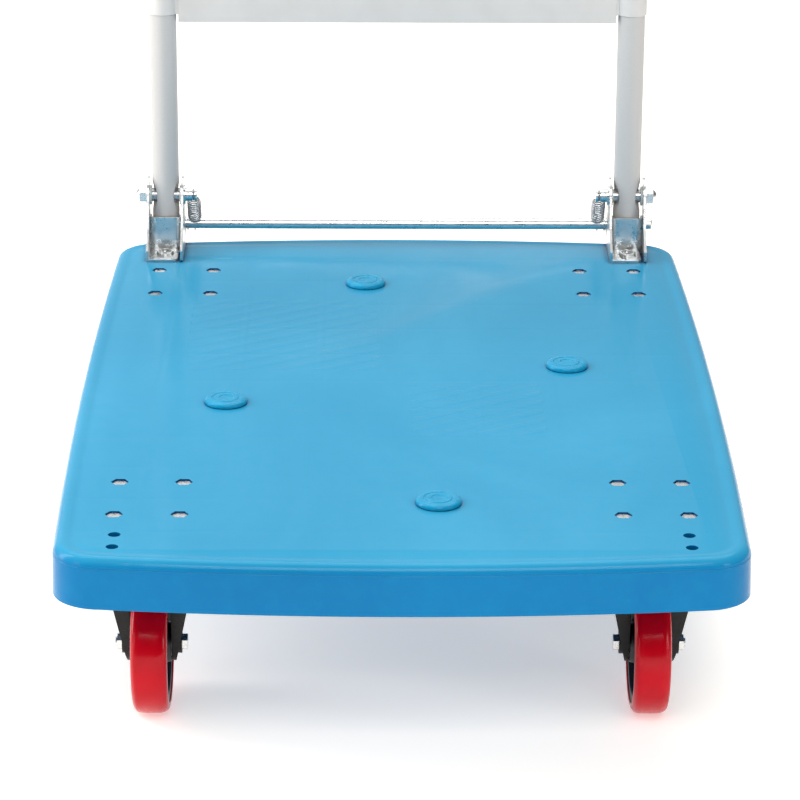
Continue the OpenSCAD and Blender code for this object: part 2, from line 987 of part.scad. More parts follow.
deck();
round_caps();
bracket_left();
bracket_right();
bracket_screws();
bracket_washers();
bracket_nuts();
pivot_bolts();
pivot_cap_nuts();
pivot_outer_washers();
pivot_thrust_washers();
handle_tube();
pivot_sleeves();
panel_front();
panel_back();
panel_screws();
release_bar();
bar_rings();
spring_left();
spring_right();
caster_bolts();
caster_washers();
caster_nuts();
rigid_fork_left();
rigid_fork_right();
swivel_plate_left();
swivel_plate_right();
kingpins();
swivel_fork_left();
swivel_fork_right();
balls_left();
balls_right();
tyre_front_left();
tyre_front_right();
tyre_rear_left();
tyre_rear_right();
core_front_left();
core_front_right();
core_rear_left();
core_rear_right();
bearings_front_left();
bearings_front_right();
bearings_rear_left();
bearings_rear_right();
spacers_front();
spacers_rear_left();
spacers_rear_right();
axle_bolts_front();
axle_bolt_rear_left();
axle_bolt_rear_right();
axle_nuts_front();
axle_nut_rear_left();
axle_nut_rear_right();
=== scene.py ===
"""Folding platform cart: finishes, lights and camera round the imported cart, with the deck,
caps, springs, tyres and wheel centres modelled more finely than in the frame."""
import json
import math

import bmesh
import bpy
from mathutils import Matrix, Vector


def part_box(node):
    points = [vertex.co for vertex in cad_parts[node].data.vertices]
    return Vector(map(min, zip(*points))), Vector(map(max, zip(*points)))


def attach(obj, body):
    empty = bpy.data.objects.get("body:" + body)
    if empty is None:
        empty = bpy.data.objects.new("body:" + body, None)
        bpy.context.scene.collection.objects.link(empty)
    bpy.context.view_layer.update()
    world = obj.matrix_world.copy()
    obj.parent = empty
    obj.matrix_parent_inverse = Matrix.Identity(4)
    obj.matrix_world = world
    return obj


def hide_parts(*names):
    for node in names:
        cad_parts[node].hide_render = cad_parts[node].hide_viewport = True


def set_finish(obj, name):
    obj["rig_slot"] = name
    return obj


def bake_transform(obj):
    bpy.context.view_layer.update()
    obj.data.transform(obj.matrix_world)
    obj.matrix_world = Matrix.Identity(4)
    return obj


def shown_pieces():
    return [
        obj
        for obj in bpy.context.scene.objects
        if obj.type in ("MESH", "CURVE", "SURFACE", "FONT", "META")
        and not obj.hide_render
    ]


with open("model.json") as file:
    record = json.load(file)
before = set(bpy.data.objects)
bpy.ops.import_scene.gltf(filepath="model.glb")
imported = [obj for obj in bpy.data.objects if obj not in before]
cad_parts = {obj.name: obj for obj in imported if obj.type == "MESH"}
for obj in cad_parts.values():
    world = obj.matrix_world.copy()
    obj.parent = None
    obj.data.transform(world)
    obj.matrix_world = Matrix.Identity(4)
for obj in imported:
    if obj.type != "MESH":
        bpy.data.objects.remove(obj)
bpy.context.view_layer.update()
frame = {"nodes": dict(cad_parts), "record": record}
nodes = frame["nodes"]

MM = 0.001
FULL_TURN = 2 * math.pi
ACROSS, UP = Vector((1, 0, 0)), Vector((0, 0, 1))

# ---------- sizes taken from the frame ----------

deck_low, deck_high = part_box("deck")
DECK_TOP = deck_high.z
SKIRT_Z = deck_low.z
HALF_W = deck_high.x
HALF_L = deck_high.y
SIDE_BOW = 8 * MM
END_BOW = 20 * MM
CORNER_R = 42 * MM
EDGE_R = 9 * MM
WALL = 4 * MM
DRAFT = 0.8 * MM

bolts_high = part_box("caster_bolts")[1]
plate_low, plate_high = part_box("rigid_fork_right")
CASTER_X = (plate_low.x + plate_high.x) / 2
CASTER_Y = -(plate_low.y + plate_high.y) / 2
BOLT_HEAD_H = 5.3 * MM
POCKET_FLATS = 13.6 * MM
POCKET_Z = bolts_high.z - BOLT_HEAD_H
BOLT_SX = 56 * MM
BOLT_SY = 75 * MM
BRACKET_X = 242 * MM
BRACKET_HOLES_Y = (381 * MM, 407.5 * MM)
CAPS = [(-32, 291.5), (161, 42), (-161, -59), (32, -308.5)]
CAP_R = 20 * MM
CAP_H = 5 * MM


# ---------- mesh helpers ----------

def piece(name, bm, smooth_below=35):
    """A finished object from bm, with edges sharper than smooth_below degrees kept crisp."""
    mesh = bpy.data.meshes.new(name)
    bm.to_mesh(mesh)
    bm.free()
    made = bpy.data.objects.new(name, mesh)
    bpy.context.scene.collection.objects.link(made)
    shade(made, smooth_below)
    return made


def shade(made, smooth_below):
    made.data.polygons.foreach_set("use_smooth", [True] * len(made.data.polygons))
    made.data.set_sharp_from_angle(angle=math.radians(smooth_below))


def tidy_shell(bm):
    bmesh.ops.remove_doubles(bm, verts=bm.verts[:], dist=1e-6)
    bmesh.ops.recalc_face_normals(bm, faces=bm.faces[:])


def block(bm, low, high):
    """An upright box between two corners."""
    size = Vector(high) - Vector(low)
    place = Matrix.Translation((Vector(low) + Vector(high)) / 2) @ Matrix.Diagonal((*size, 1))
    return bmesh.ops.create_cube(bm, size=1, matrix=place)["verts"]


def post(bm, x, y, low, high, radius, sides=40, turn=0.0):
    """An upright round or many-sided bar."""
    place = Matrix.Translation((x, y, (low + high) / 2)) @ Matrix.Rotation(turn, 4, "Z")
    return bmesh.ops.create_cone(bm, cap_ends=True, segments=sides, radius1=radius,
                                 radius2=radius, depth=high - low, matrix=place)["verts"]


def merged(target, other, how):
    """target with other joined to it or cut from it."""
    step = target.modifiers.new("join", "BOOLEAN")
    step.operation = how
    step.solver = "EXACT"
    step.use_self = True
    step.object = other
    graph = bpy.context.evaluated_depsgraph_get()
    mesh = bpy.data.meshes.new_from_object(target.evaluated_get(graph))
    target.modifiers.clear()
    old = target.data
    target.data = mesh
    bpy.data.meshes.remove(old)
    bpy.data.objects.remove(other)


# ---------- deck ----------

def bowed_plan(bm):
    """The deck's plan at skirt height: one quarter spun as three arcs, then mirrored twice."""
    side_r = (HALF_L ** 2 + SIDE_BOW ** 2) / (2 * SIDE_BOW)
    end_r = (HALF_W ** 2 + END_BOW ** 2) / (2 * END_BOW)
    side_c = Vector((HALF_W - side_r, 0, SKIRT_Z))
    end_c = Vector((0, HALF_L - end_r, SKIRT_Z))
    gap = (end_c - side_c).length
    to_side, to_end = side_r - CORNER_R, end_r - CORNER_R
    across = (to_side ** 2 - to_end ** 2 + gap ** 2) / (2 * gap)
    up = math.sqrt(to_side ** 2 - across ** 2)
    toward = (end_c - side_c).normalized()
    away = Vector((toward.y, -toward.x, 0))
    corner_c = side_c + toward * across + away * up
    if corner_c.x < 0:
        corner_c = side_c + toward * across - away * up
    side_turn = math.atan2(corner_c.y - side_c.y, corner_c.x - side_c.x)
    end_turn = math.atan2(corner_c.y - end_c.y, corner_c.x - end_c.x)
    tip = [bm.verts.new((HALF_W, 0, SKIRT_Z))]
    arcs = [(side_c, side_turn, 14), (corner_c, end_turn - side_turn, 14),
            (end_c, math.pi / 2 - end_turn, 10)]
    for centre, turn, steps in arcs:
        tip = bmesh.ops.spin(bm, geom=tip, cent=centre, axis=UP, dvec=(0, 0, 0), angle=turn,
                             steps=steps)["geom_last"]
        tip = [v for v in tip if isinstance(v, bmesh.types.BMVert)]
    for axis in ("X", "Y"):
        bmesh.ops.mirror(bm, geom=bm.verts[:] + bm.edges[:], matrix=Matrix.Identity(4),
                         merge_dist=1e-5, axis=axis)
    bmesh.ops.remove_doubles(bm, verts=bm.verts[:], dist=1e-5)
    return bmesh.ops.contextual_create(bm, geom=bm.edges[:])["faces"][0]


def deck_skin():
    """Load face, rolled edge and skirt, stepped inwards ring by ring from the plan."""
    bm = bmesh.new()
    face = bowed_plan(bm)
    bm.normal_update()
    if face.normal.z < 0:
        face.normal_flip()
    ledge, ledge_rise = 0.35 * MM, 0.2 * MM
    lip = 1.2 * MM
    roll_steps = 9
    steps = [(0.0, lip), (DRAFT, DECK_TOP - SKIRT_Z - EDGE_R - lip - ledge_rise),
             (ledge, ledge_rise)]
    roll_w = EDGE_R - ledge
    for i in range(roll_steps):
        a, b = (math.pi / 2 * (i + k) / roll_steps for k in (0, 1))
        steps.append((roll_w * (math.cos(a) - math.cos(b)), EDGE_R * (math.sin(b) - math.sin(a))))
    # a shallow channel runs round the load face inside the roll
    steps += [(3.5 * MM, 0.0), (1.2 * MM, -0.25 * MM), (5 * MM, 0.0), (1.2 * MM, 0.25 * MM)]
    for inward, rise in steps:
        bmesh.ops.inset_region(bm, faces=[face], thickness=max(inward, 1e-7), depth=rise,
                               use_even_offset=True, use_boundary=True)
    return bm


def deck_shell():
    bm = deck_skin()
    bmesh.ops.solidify(bm, geom=bm.faces[:], thickness=WALL)
    bmesh.ops.recalc_face_normals(bm, faces=bm.faces[:])
    return piece("deck_moulding", bm)


# ribs, caster seats and bosses under the load face
RIB_T = 3 * MM
RIB_PITCH = 75 * MM
RIB_Z = SKIRT_Z + 12 * MM
PAD_Z = plate_high.z
SKIN_Z = DECK_TOP - WALL
SEAT_X, SEAT_Y = 80 * MM, 102 * MM
KINGPIN_BOSS_R = 14 * MM
BOLT_BOSS_R = 11 * MM
SCREW_BOSS_R = 12 * MM
SCREW_BOSS_Z = DECK_TOP - 26 * MM
CAP_SOCKET_R = 16 * MM
CAP_SOCKET_Z = SKIN_Z - 12 * MM
CAP_STEM_R = 12 * MM
M8_HOLE_R = 4.25 * MM
M10_HOLE_R = 5.25 * MM
INTO_SKIN = 1 * MM
PAST = 4 * MM


def caster_bolt_places():
    return [(cx + bx, cy + by) for cx in (-CASTER_X, CASTER_X) for cy in (-CASTER_Y, CASTER_Y)
            for bx in (-BOLT_SX / 2, BOLT_SX / 2) for by in (-BOLT_SY / 2, BOLT_SY / 2)]


def bracket_hole_places():
    return [(x, end * y) for x in (-BRACKET_X, BRACKET_X) for end in (-1, 1)
            for y in BRACKET_HOLES_Y]


def deck_ribs():
    bm = bmesh.new()
    half_w, half_l = HALF_W - WALL / 2 - SIDE_BOW, HALF_L - WALL / 2 - END_BOW
    top = SKIN_Z + INTO_SKIN
    for i in range(-3, 4):
        block(bm, (i * RIB_PITCH - RIB_T / 2, -half_l, RIB_Z),
              (i * RIB_PITCH + RIB_T / 2, half_l, top))
    for j in range(-5, 6):
        block(bm, (-half_w, j * RIB_PITCH - RIB_T / 2, RIB_Z),
              (half_w, j * RIB_PITCH + RIB_T / 2, top))
    return piece("rib_grid", bm)


def deck_seats():
    bm = bmesh.new()
    top = SKIN_Z + INTO_SKIN
    for sx in (-1, 1):
        for sy in (-1, 1):
            x, y = sx * CASTER_X, sy * CASTER_Y
            for side in (-1, 1):
                edge = x + side * (SEAT_X - WALL) / 2
                block(bm, (edge - WALL / 2, y - SEAT_Y / 2, PAD_Z),
                      (edge + WALL / 2, y + SEAT_Y / 2, top))
                edge = y + side * (SEAT_Y - WALL) / 2
                block(bm, (x - SEAT_X / 2, edge - WALL / 2, PAD_Z),
                      (x + SEAT_X / 2, edge + WALL / 2, top))
            post(bm, x, y, PAD_Z, top, KINGPIN_BOSS_R, 32)
    for x, y in caster_bolt_places():
        post(bm, x, y, PAD_Z, top, BOLT_BOSS_R, 28)
    for x, y in bracket_hole_places():
        post(bm, x, y, SCREW_BOSS_Z, top, SCREW_BOSS_R, 28)
    for x, y in CAPS:
        post(bm, x * MM, y * MM, CAP_SOCKET_Z, top, CAP_SOCKET_R, 36)
    return piece("seats", bm)


def deck_holes():
    bm = bmesh.new()
    for x, y in caster_bolt_places():
        post(bm, x, y, PAD_Z - PAST, DECK_TOP + PAST, M8_HOLE_R, 32)
    for x, y in bracket_hole_places():
        post(bm, x, y, SCREW_BOSS_Z - PAST, DECK_TOP + PAST, M10_HOLE_R, 48)
    for x, y in CAPS:
        post(bm, x * MM, y * MM, CAP_SOCKET_Z - PAST, DECK_TOP + PAST, CAP_STEM_R, 40)
    return piece("holes", bm)


def deck_pockets():
    """Hexagonal pockets that the caster bolts' heads sit in."""
    bm = bmesh.new()
    across_corners = POCKET_FLATS / math.cos(math.pi / 6)
    for x, y in caster_bolt_places():
        post(bm, x, y, POCKET_Z, DECK_TOP + PAST, across_corners / 2, 6, math.pi / 6)
    return piece("pockets", bm)


shell = deck_shell()
merged(shell, deck_ribs(), "UNION")
merged(shell, deck_seats(), "UNION")
merged(shell, deck_holes(), "DIFFERENCE")
merged(shell, deck_pockets(), "DIFFERENCE")
shade(shell, 30)
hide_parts("deck")
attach(shell, "cart")
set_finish(shell, "deck_plastic")


# ---------- caps ----------

def deck_caps():
    """Round caps with a softened rim, a shallow ring and a dished middle."""
    bm = bmesh.new()
    outline = [(-9 * MM - WALL, 0), (-9 * MM - WALL, 12 * MM), (0, 12 * MM), (0, CAP_R),
               (CAP_H - 1.6 * MM, CAP_R - 0.3 * MM), (CAP_H, CAP_R - 3.2 * MM),
               (CAP_H, 13.5 * MM), (CAP_H - 0.5 * MM, 13 * MM), (CAP_H - 0.5 * MM, 11.5 * MM),
               (CAP_H, 11 * MM), (CAP_H, 7 * MM), (CAP_H - 0.5 * MM, 6.5 * MM),
               (CAP_H - 0.5 * MM, 0)]
    for x, y in CAPS:
        points = [bm.verts.new((x * MM + r, y * MM, DECK_TOP + z)) for z, r in outline]
        for pair in zip(points, points[1:]):
            bm.edges.new(pair)
        softened = points[3:6]
        bmesh.ops.bevel(bm, geom=softened, offset=1.0 * MM, offset_type="OFFSET",
                        affect="VERTICES", segments=4, profile=0.5, material=-1)
        loop = [e for e in bm.edges if e.is_wire]
        bmesh.ops.spin(bm, geom=loop, cent=(x * MM, y * MM, 0), axis=UP, dvec=(0, 0, 0),
                       angle=FULL_TURN, steps=64, use_merge=True)
    tidy_shell(bm)
    return piece("deck_caps", bm, 40)


caps = deck_caps()
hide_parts("round_caps")
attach(caps, "cart")
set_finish(caps, "deck_plastic")


# ---------- return springs ----------

pivot_low, pivot_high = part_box("pivot_sleeves")
bar_low, bar_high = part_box("release_bar")
spring_low, spring_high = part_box("spring_right")
PIVOT = Vector((0, (pivot_low.y + pivot_high.y) / 2, (pivot_low.z + pivot_high.z) / 2))
BAR = Vector((0, (bar_low.y + bar_high.y) / 2, (bar_low.z + bar_high.z) / 2))
SPRING_X = (spring_low.x + spring_high.x) / 2
WIRE_R = 0.8 * MM
COIL_R = 6.6 * MM
BOLT_HOOK_R = 5.4 * MM
BAR_HOOK_R = (bar_high.z - bar_low.z) / 2 + 1.2 * MM
COIL_TURNS = 9
COIL_GAP = 8 * MM
POINTS_A_TURN = 24
HOOK_STEPS = 28


def spring(name, x):
    """A close-wound coil between a hook round the pivot bolt and a hook round the bar."""
    down = BAR - PIVOT
    reach = down.length
    down.normalize()
    out = ACROSS.cross(down)
    foot_gap = BAR_HOOK_R + 2 * MM
    start = Vector((x, 0, 0)) + PIVOT
    end = Vector((x, 0, 0)) + BAR
    route = []

    def hook(centre, radius, first, last):
        for i in range(HOOK_STEPS + 1):
            a = first + (last - first) * i / HOOK_STEPS
            route.append(centre + radius * (down * math.cos(a) + out * math.sin(a)))

    hook(start, BOLT_HOOK_R, math.radians(-250), math.radians(-20))
    coil_l = reach - COIL_GAP - foot_gap
    around = COIL_TURNS * POINTS_A_TURN
    for i in range(around + 1):
        share = i / around
        a = FULL_TURN * COIL_TURNS * share
        grow = min(1, 20 * share, 20 * (1 - share)) * 0.2 + 0.8
        route.append(start + down * (COIL_GAP + coil_l * share)
                     + COIL_R * grow * (out * math.cos(a) + ACROSS * math.sin(a)))
    hook(end, BAR_HOOK_R, math.radians(160), math.radians(-70))
    line = bpy.data.curves.new(name, "CURVE")
    line.dimensions = "3D"
    run = line.splines.new("POLY")
    run.points.add(len(route) - 1)
    for point, place in zip(run.points, route):
        point.co = (*place, 1)
    line.bevel_depth = WIRE_R
    line.bevel_resolution = 2
    line.use_fill_caps = True
    wire = bpy.data.objects.new(name + "_line", line)
    bpy.context.scene.collection.objects.link(wire)
    graph = bpy.context.evaluated_depsgraph_get()
    mesh = bpy.data.meshes.new_from_object(wire.evaluated_get(graph))
    bpy.data.objects.remove(wire)
    made = bpy.data.objects.new(name, mesh)
    bpy.context.scene.collection.objects.link(made)
    shade(made, 50)
    return made


for side, x in (("left", -SPRING_X), ("right", SPRING_X)):
    coil = spring("return_spring_" + side, x)
    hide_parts("spring_" + side)
    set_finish(coil, "spring_wire")
    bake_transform(coil)


# ---------- wheels ----------

TREAD_W = 32 * MM
CORE_R = 53.5 * MM
RIM_W = 29 * MM
RIM_T = 7 * MM
BEARING_W = 8 * MM
SHOULDER_R = 4 * MM
SPOKES = 8
SPOKE_T = 3.5 * MM
HUB_R = 18 * MM
BORE_R = 14 * MM
HUB_W = 34 * MM


def ring_outline(bm, centre, corners, steps):
    """Turns one closed ring about the axle; corners are (along, radius, rounding)."""
    points = [bm.verts.new(centre + Vector((along, 0, radius))) for along, radius, _ in corners]
    bm.faces.new(points)
    for point, (_, _, rounding) in zip(points, corners):
        if rounding:
            bmesh.ops.bevel(bm, geom=[point], offset=rounding, offset_type="OFFSET",
                            affect="VERTICES", segments=5, profile=0.5, material=-1)
    loop = bm.edges[:]
    bmesh.ops.delete(bm, geom=bm.faces[:], context="FACES_ONLY")
    bmesh.ops.spin(bm, geom=loop, cent=centre, axis=ACROSS, dvec=(0, 0, 0), angle=FULL_TURN,
                   steps=steps, use_merge=True)


def tyre(name, centre, radius):
    bm = bmesh.new()
    half = TREAD_W / 2
    foot = CORE_R + 1.2 * MM
    sides = []
    for way in (-1, 1):
        sides.append([(way * (half - 0.6 * MM), CORE_R, 0), (way * half, foot, 0.5 * MM),
                      (way * half, radius - SHOULDER_R, SHOULDER_R),
                      (way * (half - SHOULDER_R - 0.6 * MM), radius, SHOULDER_R)])
    ring_outline(bm, centre, sides[0] + sides[1][::-1], 128)
    tidy_shell(bm)
    return piece(name, bm, 40)


def wheel_centre(name, centre):
    bm = bmesh.new()
    rim, hub = RIM_W / 2, HUB_W / 2
    step = hub - BEARING_W
    web = 3 * MM
    hub_root = hub - 3 * MM
    sides = []
    for way in (-1, 1):
        sides.append([(way * rim, CORE_R - 0.01 * MM, 0), (way * rim, CORE_R - RIM_T, 1 * MM),
                      (way * web, CORE_R - RIM_T - 2 * MM, 2 * MM),
                      (way * web, HUB_R + 3 * MM, 2 * MM), (way * hub_root, HUB_R, 1 * MM),
                      (way * hub, HUB_R - 0.8 * MM, 0.5 * MM), (way * hub, BORE_R, 0),
                      (way * step, BORE_R, 0), (way * step, BORE_R - 3 * MM, 0)])
    ring_outline(bm, centre, sides[1] + sides[0][::-1], 96)
    tidy_shell(bm)
    corner = Vector((rim - 3 * MM, SPOKE_T / 2, 0))
    for i in range(SPOKES):
        spoke = block(bm, centre + UP * (HUB_R - 1.5 * MM) - corner,
                      centre + UP * (CORE_R - RIM_T + 0.5 * MM) + corner)
        bmesh.ops.rotate(bm, cent=centre, matrix=Matrix.Rotation(FULL_TURN * i / SPOKES, 3, "X"),
                         verts=spoke)
    return piece(name, bm, 40)


for end in ("front", "rear"):
    for side in ("left", "right"):
        where = end + "_" + side
        low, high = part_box("tyre_" + where)
        middle = (low + high) / 2
        tread = tyre("tread_" + where, middle, (high.z - low.z) / 2)
        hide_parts("tyre_" + where)
        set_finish(tread, "tread")
        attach(tread, "wheel_" + where)
        centre = wheel_centre("wheel_centre_" + where, middle)
        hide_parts("core_" + where)
        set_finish(centre, "core_plastic")
        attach(centre, "wheel_" + where)


# ---------- finishes ----------

class Finish:
    """One material, with short calls for the nodes that every finish uses."""

    def __init__(self, name, colour, rough, **sockets):
        self.mat = bpy.data.materials.new(name)
        self.mat.use_nodes = True
        self.mat.diffuse_color = (*colour, 1)
        self.shader = self.mat.node_tree.nodes["Principled BSDF"]
        self.shader.inputs["Base Color"].default_value = (*colour, 1)
        self.shader.inputs["Roughness"].default_value = rough
        for socket, value in sockets.items():
            self.shader.inputs[socket.replace("_", " ")].default_value = value
        self.place = self.node("ShaderNodeTexCoord").outputs["Object"]

    def node(self, kind, **settings):
        made = self.mat.node_tree.nodes.new(kind)
        for key, value in settings.items():
            setattr(made, key, value)
        return made

    def join(self, source, target):
        self.mat.node_tree.links.new(source, target)

    def value(self, socket, given):
        if isinstance(given, bpy.types.NodeSocket):
            self.join(given, socket)
        else:
            socket.default_value = given

    def noise(self, scale, detail=3.0, rough=0.5, stretch=None, warp=0.0):
        """Noise on the object's own coordinates, in cycles per metre."""
        tex = self.node("ShaderNodeTexNoise")
        tex.inputs["Scale"].default_value = scale
        tex.inputs["Detail"].default_value = detail
        tex.inputs["Roughness"].default_value = rough
        tex.inputs["Distortion"].default_value = warp
        place = self.place
        if stretch:
            mapping = self.node("ShaderNodeMapping")
            mapping.inputs["Scale"].default_value = stretch
            self.join(place, mapping.inputs["Vector"])
            place = mapping.outputs["Vector"]
        self.join(place, tex.inputs["Vector"])
        return tex.outputs["Fac"]

    def span(self, source, low, high, to_low=0.0, to_high=1.0, smooth=False):
        step = self.node("ShaderNodeMapRange")
        if smooth:
            step.interpolation_type = "SMOOTHSTEP"
        self.join(source, step.inputs["Value"])
        for socket, given in zip(("From Min", "From Max", "To Min", "To Max"),
                                 (low, high, to_low, to_high)):
            step.inputs[socket].default_value = given
        return step.outputs["Result"]

    def maths(self, kind, a, b=0.0, c=None):
        step = self.node("ShaderNodeMath", operation=kind)
        self.value(step.inputs[0], a)
        self.value(step.inputs[1], b)
        if c is not None:
            self.value(step.inputs[2], c)
        return step.outputs[0]

    def blend(self, share, a, b):
        mix = self.node("ShaderNodeMix", data_type="RGBA")
        self.value(mix.inputs[0], share)
        for socket, given in ((mix.inputs[6], a), (mix.inputs[7], b)):
            if isinstance(given, bpy.types.NodeSocket):
                self.join(given, socket)
            else:
                socket.default_value = (*given, 1)
        return mix.outputs[2]

    def colour(self, source):
        self.join(source, self.shader.inputs["Base Color"])

    def roughness(self, source):
        self.join(source, self.shader.inputs["Roughness"])

    def relief(self, *layers, rounding=0.0):
        """Bumps of the given (height, depth) layers over edges rounded by rounding."""
        normal = None
        if rounding:
            soft = self.node("ShaderNodeBevel", samples=6)
            soft.inputs["Radius"].default_value = rounding
            normal = soft.outputs["Normal"]
        for height, depth in layers:
            bump = self.node("ShaderNodeBump")
            bump.inputs["Distance"].default_value = depth
            bump.inputs["Strength"].default_value = 1.0
            self.join(height, bump.inputs["Height"])
            if normal:
                self.join(normal, bump.inputs["Normal"])
            normal = bump.outputs["Normal"]
        if normal:
            self.join(normal, self.shader.inputs["Normal"])

    def painted_hollow_shade(self, reach, base, dark):
        """base, falling to a painted shade of dark deep inside holes and pockets."""
        ao_shade = self.node("ShaderNodeAmbientOcclusion", samples=6)
        ao_shade.inputs["Distance"].default_value = reach
        return self.blend(self.span(ao_shade.outputs["AO"], 0.35, 0.9), dark, base)

    def edges(self, radius):
        """1 along sharp edges, 0 on flat faces."""
        soft = self.node("ShaderNodeBevel", samples=4)
        soft.inputs["Radius"].default_value = radius
        flat = self.node("ShaderNodeNewGeometry")
        dot = self.node("ShaderNodeVectorMath", operation="DOT_PRODUCT")
        self.join(soft.outputs["Normal"], dot.inputs[0])
        self.join(flat.outputs["Normal"], dot.inputs[1])
        return self.span(dot.outputs["Value"], 0.985, 0.8)


HATCH_PITCH = 24 * MM
SINK_W = 5 * MM


def deck_finish():
    """Semi-gloss moulded polypropylene: soft flow marks and sink lines over the ribs; painted light
    on upward faces and painted shade on the sides and in holes; lighter edges, partly scuffs and
    partly a painted highlight.
    """
    f = Finish("deck_plastic", (0.0, 0.25, 0.47), 0.24, Specular_IOR_Level=0.13)
    apart = f.node("ShaderNodeSeparateXYZ")
    f.join(f.place, apart.inputs[0])
    x, y, z = apart.outputs
    flow = f.noise(5, 4, 0.55, stretch=(1.0, 0.45, 1.0), warp=0.6)
    mottle = f.noise(60, 3, 0.6)
    # painted light and shade: upward faces get a lighter blue and side faces a darker blue, standing
    # in for the overhead light on the load face and the shade on the skirt
    facing = f.node("ShaderNodeSeparateXYZ")
    f.join(f.node("ShaderNodeNewGeometry").outputs["Normal"], facing.inputs[0])
    flat = f.span(facing.outputs[2], 0.1, 0.95)
    tide = f.span(flow, 0.3, 0.7, smooth=True)
    side = f.blend(tide, (0.0, 0.150, 0.374), (0.0, 0.172, 0.410))
    top = f.blend(tide, (0.022, 0.288, 0.492), (0.034, 0.326, 0.540))
    base = f.blend(flat, side, top)
    base = f.blend(f.maths("MULTIPLY", f.span(mottle, 0.4, 0.75, smooth=True), 0.12), base,
                   (0.004, 0.275, 0.50))
    # lighter blue along sharp edges, partly scuffing and partly a painted highlight where the edges
    # catch the light
    scuff_and_edge_sheen = f.maths("MULTIPLY", f.edges(1.2 * MM), f.span(f.noise(40, 4), 0.35, 0.7, 0, 0.35))
    base = f.blend(scuff_and_edge_sheen, base, (0.05, 0.36, 0.60))
    # painted shade: the deck colour falls to near-black blue deep in holes and pockets
    f.colour(f.painted_hollow_shade(9 * MM, base, (0.0, 0.016, 0.075)))
    f.roughness(f.span(f.noise(9, 3, 0.5, warp=0.8), 0.25, 0.75, 0.13, 0.23, True))
    sinks = f.maths("MINIMUM", *(f.span(f.maths("PINGPONG", way, RIB_PITCH / 2), 0.0, SINK_W,
                                        smooth=True) for way in (x, y)))
    on_top = f.span(z, DECK_TOP - 0.5 * MM, DECK_TOP - 0.3 * MM)
    slant = f.maths("SUBTRACT", y, f.maths("MULTIPLY", x, 0.62))
    stripes = f.maths("SINE", f.maths("MULTIPLY", slant, FULL_TURN / HATCH_PITCH))
    stripes = f.span(stripes, 0.1, 0.5, 0, 1, True)

    def window(low_x, high_x, low_y, high_y):
        inside = [f.span(x, low_x, low_x + MM), f.span(x, high_x, high_x - MM),
                  f.span(y, low_y, low_y + MM), f.span(y, high_y, high_y - MM)]
        share = inside[0]
        for other in inside[1:]:
            share = f.maths("MULTIPLY", share, other)
        return share

    badge = f.maths("ADD", window(10 * MM, 134 * MM, -144 * MM, -11 * MM), f.maths(
        "MULTIPLY", window(-205 * MM, -18 * MM, 30 * MM, 239 * MM), 0.6))
    bands = f.maths("MULTIPLY", f.maths("MULTIPLY", stripes, badge), on_top)
    f.relief((sinks, 0.09 * MM), (bands, 0.22 * MM), (f.noise(14, 1), 0.2 * MM),
             rounding=0.7 * MM)
    return f.mat


def cap_finish():
    f = Finish("cap_plastic", (0.0, 0.25, 0.52), 0.2, Specular_IOR_Level=0.25)
    f.colour(f.blend(f.span(f.noise(90, 3), 0.4, 0.65), (0.004, 0.285, 0.50), (0.008, 0.320, 0.545)))
    f.roughness(f.span(f.noise(140, 3), 0.3, 0.7, 0.2, 0.32))
    f.relief((f.noise(300, 2), 0.02 * MM), rounding=0.4 * MM)
    return f.mat


def zinc_finish(name, tint, rough, grain, rounding):
    """Bright zinc plating: faint spangle, roller lines and dulled patches."""
    f = Finish(name, tint, rough, Metallic=1.0)
    spangle = f.noise(grain, 4, 0.6, warp=0.4)
    dull = tuple(0.9 * c for c in tint)
    f.colour(f.blend(f.span(spangle, 0.35, 0.65), dull, tint))
    f.roughness(f.span(f.noise(grain * 0.5, 4, 0.6), 0.3, 0.7, rough * 0.7, rough * 1.35))
    f.relief((f.noise(grain * 2, 2), 0.012 * MM),
             (f.noise(60, 1, stretch=(1, 1, 30)), 0.006 * MM), rounding=rounding)
    return f.mat


def tube_finish():
    """Satin silver powder coat with a fine orange-peel skin."""
    f = Finish("tube_paint", (0.53, 0.52, 0.51), 0.45, Specular_IOR_Level=0.25)
    flake = f.noise(2600, 2)
    base = f.blend(f.span(flake, 0.35, 0.65), (0.52, 0.51, 0.50), (0.58, 0.57, 0.56))
    # lighter grey along sharp edges, partly rubbed paint and partly a painted highlight where the
    # edges catch the light
    rubbed_and_edge_sheen = f.maths("MULTIPLY", f.edges(0.8 * MM), 0.5)
    f.colour(f.blend(rubbed_and_edge_sheen, base, (0.64, 0.63, 0.62)))
    f.roughness(f.span(f.noise(70, 4), 0.3, 0.7, 0.38, 0.48))
    f.relief((f.noise(700, 2), 0.012 * MM), rounding=0.4 * MM)
    return f.mat


def panel_finish():
    """Light grey moulded panel with a fine spark-eroded grain."""
    f = Finish("panel_plastic", (0.66, 0.66, 0.665), 0.42)
    f.colour(f.blend(f.span(f.noise(30, 4), 0.3, 0.7, smooth=True), (0.62, 0.605, 0.59),
                     (0.65, 0.635, 0.62)))
    f.roughness(f.span(f.noise(50, 3), 0.3, 0.7, 0.38, 0.5))
    f.relief((f.noise(1500, 2), 0.012 * MM), rounding=1.0 * MM)
    return f.mat


def black_finish():
    """Gloss black stoved paint over pressed steel, thinner and greyer on its edges."""
    f = Finish("black_paint", (0.008, 0.008, 0.009), 0.3, Specular_IOR_Level=0.3)
    worn = f.maths("MULTIPLY", f.edges(0.7 * MM), f.span(f.noise(120, 4), 0.45, 0.75, 0, 0.5))
    base = f.blend(f.span(f.noise(200, 4), 0.4, 0.7), (0.006, 0.006, 0.007), (0.012, 0.012, 0.013))
    f.colour(f.blend(worn, base, (0.10, 0.10, 0.105)))
    f.roughness(f.span(f.noise(90, 4), 0.3, 0.7, 0.24, 0.4))
    f.relief((f.noise(500, 2), 0.02 * MM), rounding=0.5 * MM)
    return f.mat


